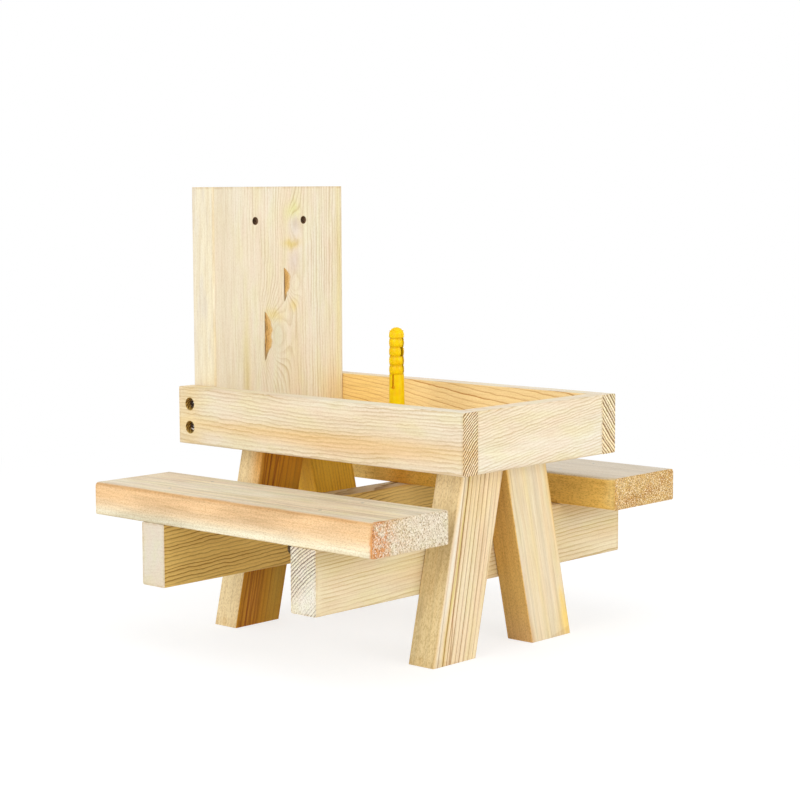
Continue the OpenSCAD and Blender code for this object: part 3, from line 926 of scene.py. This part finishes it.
def turned(bm, place, rows, recess):
    """Add a turned piece: rows of radius, height, thread depth and pitch, and a cross in its face."""
    rings = []
    for radius, height, depth, pitch in rows:
        ring = []
        for i in range(SIDES):
            angle = 2 * math.pi * i / SIDES
            r = radius - depth * (1 - crest(height, angle, pitch)) if depth else radius
            x, y, h = r * math.cos(angle), r * math.sin(angle), height
            if recess and radius < recess["arm"]:
                h -= cross_depth(x, y, **recess)
            ring.append(bm.verts.new(place @ (Vector((x, y, h)) * MM)))
        rings.append(ring)
    for upper, lower in zip(rings, rings[1:]):
        for i in range(SIDES):
            bm.faces.new((upper[i - 1], lower[i - 1], lower[i], upper[i]))
    bm.faces.new(rings[0])
    bm.faces.new(rings[-1][::-1])


def plain_rows(*pairs):
    """Rows without a thread, from pairs of radius and height."""
    return [(radius, height, 0, 1) for radius, height in pairs]


def face_rows(radius, dome=0.0):
    """Rows over a head's face, from its middle outwards; dome is how much lower its rim lies."""
    shares = [k / FACE_STEPS for k in range(FACE_STEPS)]
    return plain_rows(*((radius * share + 0.02, -dome * share ** 2) for share in shares))


def thread_rows(radius, depth, start, stop, pitch):
    """Rows down a thread; its first and last turns run out."""
    count = round((start - stop) / pitch * STEPS_PER_TURN)
    rows = []
    for k in range(count + 1):
        height = start + (stop - start) * k / count
        fade = min(1, k / STEPS_PER_TURN, (count - k) / STEPS_PER_TURN)
        rows.append((radius - depth * (1 - fade), height, depth * fade, pitch))
    return rows


def shank_rows(length, start):
    """Rows from a wood screw's head down: a short bare neck, the thread and the point."""
    point = 2 * SCREW_R
    return (plain_rows((SCREW_R, start), (SCREW_R, start - SCREW_R))
            + thread_rows(SCREW_R, SCREW_R - CORE_R, start - 1.2 * SCREW_R, point - length, PITCH)
            + plain_rows((CORE_R, point - length - 0.1), (CORE_R * 0.6, 0.4 * point - length),
                         (0.05, 0.02 - length)))


def sunk_rows(length):
    """A wood screw with a flat sunk head."""
    rim = SUNK_HEAD_R
    return (face_rows(rim - 0.15) + plain_rows((rim - 0.12, 0), (rim, -0.1), (rim, -0.4))
            + shank_rows(length, -0.4 - (rim - SCREW_R)))


def pan_rows(length):
    """A wood screw with a low round head."""
    rim = PAN_HEAD_R
    return (face_rows(rim - 1.0, dome=0.2)
            + plain_rows((rim - 0.5, -0.45), (rim - 0.15, -0.9), (rim, -1.5), (rim, -PAN_HEAD_H))
            + shank_rows(length, -PAN_HEAD_H - 0.02))


def nail_rows(length):
    """A finish nail with a small cupped head and a short ribbed neck."""
    return (plain_rows((0.05, -0.25), (0.35, -0.22), (0.55, 0), (1.1, 0), (1.2, -0.12), (1.15, -0.5),
                       (NAIL_R, -0.9))
            + thread_rows(NAIL_R, 0.06, -2.0, -9.0, 0.7)
            + plain_rows((NAIL_R, 2.4 - length), (0.05, 0.02 - length)))


def spike_rows(length):
    """The long coarse-threaded screw that carries the corn cob."""
    return (face_rows(5.6)
            + plain_rows((5.62, 0), (5.75, -0.1), (5.6, -0.25), (SPIKE_R, -2.75), (SPIKE_R, SPIKE_NECK))
            + thread_rows(SPIKE_R, SPIKE_R - SPIKE_CORE_R, SPIKE_NECK, SPIKE_POINT - length, SPIKE_PITCH)
            + plain_rows((SPIKE_CORE_R, SPIKE_POINT - 0.1 - length), (1.3, 4 - length),
                         (0.3, 0.05 - length)))


def fastener(rows, slot, metal, **recess):
    """How one node's fasteners are turned, their metal, and the sizes of their cross recess; the slot is
    stored but not used.
    """
    return SimpleNamespace(rows=rows, slot=slot, metal=metal, recess=recess)


FASTENERS = {
    "rail_screws": fastener(pan_rows, "dark_screw", "dark_screw", arm=2.3, wide=0.55, deep=1.6),
    "leg_screws": fastener(sunk_rows, "zinc_steel", "shaded_zinc", arm=2.4, wide=0.6, deep=1.8),
    "beam_screws": fastener(sunk_rows, "zinc_steel", "shaded_zinc", arm=2.4, wide=0.6, deep=1.8),
    "bench_nails": fastener(nail_rows, "zinc_steel", "zinc_steel"),
    "corn_spike": fastener(spike_rows, "zinc_steel", "zinc_steel", arm=3.4, wide=0.8, deep=2.6),
}


def make_fastener(node, kind, metal):
    """All the fasteners of one CAD node as one threaded, recessed piece."""
    bm = bmesh.new()
    for number, corners in enumerate(solids(node)):
        place, length = head_place(corners)
        spin = Matrix.Rotation(FIRST_TURN + NEXT_TURN * number, 4, "Z")
        turned(bm, place @ spin, kind.rows(length), kind.recess)
    bmesh.ops.recalc_face_normals(bm, faces=bm.faces)
    mesh = bpy.data.meshes.new(node + "_detail")
    bm.to_mesh(mesh)
    bm.free()
    piece = bpy.data.objects.new(node + "_detail", mesh)
    bpy.context.scene.collection.objects.link(piece)
    dress(piece, metal)
    mesh.shade_smooth()
    mesh.set_sharp_from_angle(angle=SMOOTH_BELOW)
    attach(piece, "table")
    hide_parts(node)


def dress_fittings():
    """Make the fasteners and colour the tip guard."""
    metals = {name: steel(name, **looks) for name, looks in METALS.items()}
    for node, kind in FASTENERS.items():
        make_fastener(node, kind, metals[kind.metal])
    dress(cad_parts["tip_guard"], guard_plastic())


# Camera, fitted to the photograph's corners: metres, degrees and mm

CAMERA_PLACE = Vector((0.8734, -0.9509, 0.2843))
CAMERA_AZIMUTH = 42.362
CAMERA_DOWN = 6.094
CAMERA_ROLL = -0.21
CAMERA_LENS = 92.88
SENSOR = 36.0
NEAREST = 0.01


def make_camera():
    """A camera at the photograph's viewing angle."""
    a, e, r = (math.radians(v) for v in (CAMERA_AZIMUTH, CAMERA_DOWN, CAMERA_ROLL))
    ahead = Vector((-math.sin(a) * math.cos(e), math.cos(a) * math.cos(e), -math.sin(e)))
    right = Vector((math.cos(a), math.sin(a), 0))
    up = right.cross(ahead)
    right, up = right * math.cos(r) + up * math.sin(r), up * math.cos(r) - right * math.sin(r)
    data = bpy.data.cameras.new("camera")
    data.lens = CAMERA_LENS
    data.sensor_width = SENSOR
    data.clip_start = NEAREST
    camera = bpy.data.objects.new("camera", data)
    bpy.context.scene.collection.objects.link(camera)
    turn = Matrix((right, up, -ahead)).transposed().to_4x4()
    camera.matrix_world = Matrix.Translation(CAMERA_PLACE) @ turn
    bpy.context.scene.camera = camera


# Studio: metres and watts

SKY = 0.61
FLOOR_SIZE = 16.0
FLOOR_Z = -0.0002
WHITE_FROM = 0.35
WHITE_TO = 0.9
NEAR_GREY = srgb(240, 240, 240)
PAPER_GREY = srgb(162, 162, 162)
PAPER_GLOW = 0.72


def seen_directly(n):
    """1 for what the camera sees, also in a shiny or clear surface, and 0 for light that only bounces."""
    path = n.new("ShaderNodeLightPath").outputs
    mirrored = n.math("MAXIMUM", path["Is Glossy Ray"], path["Is Transmission Ray"])
    return n.math("MAXIMUM", path["Is Camera Ray"], mirrored)


def floor_material():
    """Pale floor that the camera sees as white paper with the feeder's soft shadow near it."""
    made, n = material("floor")
    seen = seen_directly(n)
    place = n.new("ShaderNodeTexCoord").outputs["Object"]
    far = n.ease(n.vector("LENGTH", place), WHITE_FROM, WHITE_TO)
    near_matte = n.new("ShaderNodeBsdfDiffuse", {"Color": NEAR_GREY}).outputs[0]
    seen_matte = n.new("ShaderNodeBsdfDiffuse", {"Color": PAPER_GREY}).outputs[0]
    glow = n.new("ShaderNodeEmission", {"Color": 1.0, "Strength": PAPER_GLOW}).outputs[0]
    paper = n.new("ShaderNodeAddShader", {0: seen_matte, 1: glow}).outputs[0]
    white = n.new("ShaderNodeEmission", {"Color": 1.0, "Strength": 1.0}).outputs[0]
    paper = n.new("ShaderNodeMixShader", {0: far, 1: paper, 2: white}).outputs[0]
    both = n.new("ShaderNodeMixShader", {0: seen, 1: near_matte, 2: paper}).outputs[0]
    n.new("ShaderNodeOutputMaterial", {"Surface": both})
    return made


def make_floor():
    """A wide floor just under the feet."""
    bpy.ops.mesh.primitive_plane_add(size=FLOOR_SIZE, location=(0, 0, FLOOR_Z))
    floor = bpy.context.object
    floor.name = "floor"
    dress(floor, floor_material())


def softbox(name, place, target, size, watts):
    """A rectangular lamp that looks at its target."""
    data = bpy.data.lights.new(name, "AREA")
    data.shape = "RECTANGLE"
    data.size, data.size_y = size
    data.energy = watts
    light = bpy.data.objects.new(name, data)
    bpy.context.scene.collection.objects.link(light)
    light.location = place
    light.rotation_mode = "QUATERNION"
    light.rotation_quaternion = (Vector(place) - Vector(target)).to_track_quat("Z", "Y")


def make_sky():
    """A white world that lights the feeder less than it shows."""
    world = bpy.data.worlds.new("studio")
    bpy.context.scene.world = world
    world.use_nodes = True
    world.node_tree.nodes.clear()
    n = Nodes(world.node_tree)
    strength = n.math("MULTIPLY_ADD", seen_directly(n), 1 - SKY, SKY)
    sky = n.new("ShaderNodeBackground", {"Color": 1.0, "Strength": strength}).outputs[0]
    n.new("ShaderNodeOutputWorld", {"Surface": sky})


def make_lamps():
    """Four softboxes; the left and right ones give the two sides their different tones."""
    softbox("top_softbox", place=(0.3, -0.4, 2.4), target=(0, 0, 0.1), size=(1.6, 1.6), watts=9)
    softbox("left_softbox", place=(0.25, -2.2, 0.8), target=(0, 0, 0.12), size=(1.3, 1.0), watts=19.5)
    softbox("right_softbox", place=(2.2, 0.1, 0.6), target=(0, 0, 0.1), size=(1.3, 1.0), watts=17.5)
    softbox("back_softbox", place=(-1.6, 1.8, 0.3), target=(0, 0, 0.15), size=(1.6, 0.5), watts=11)


def studio():
    """Plain colours, a floor, a sky and lamps."""
    bpy.context.scene.view_settings.view_transform = "Standard"
    make_floor()
    make_sky()
    make_lamps()


make_camera()
dress_wood()
dress_fittings()
studio()
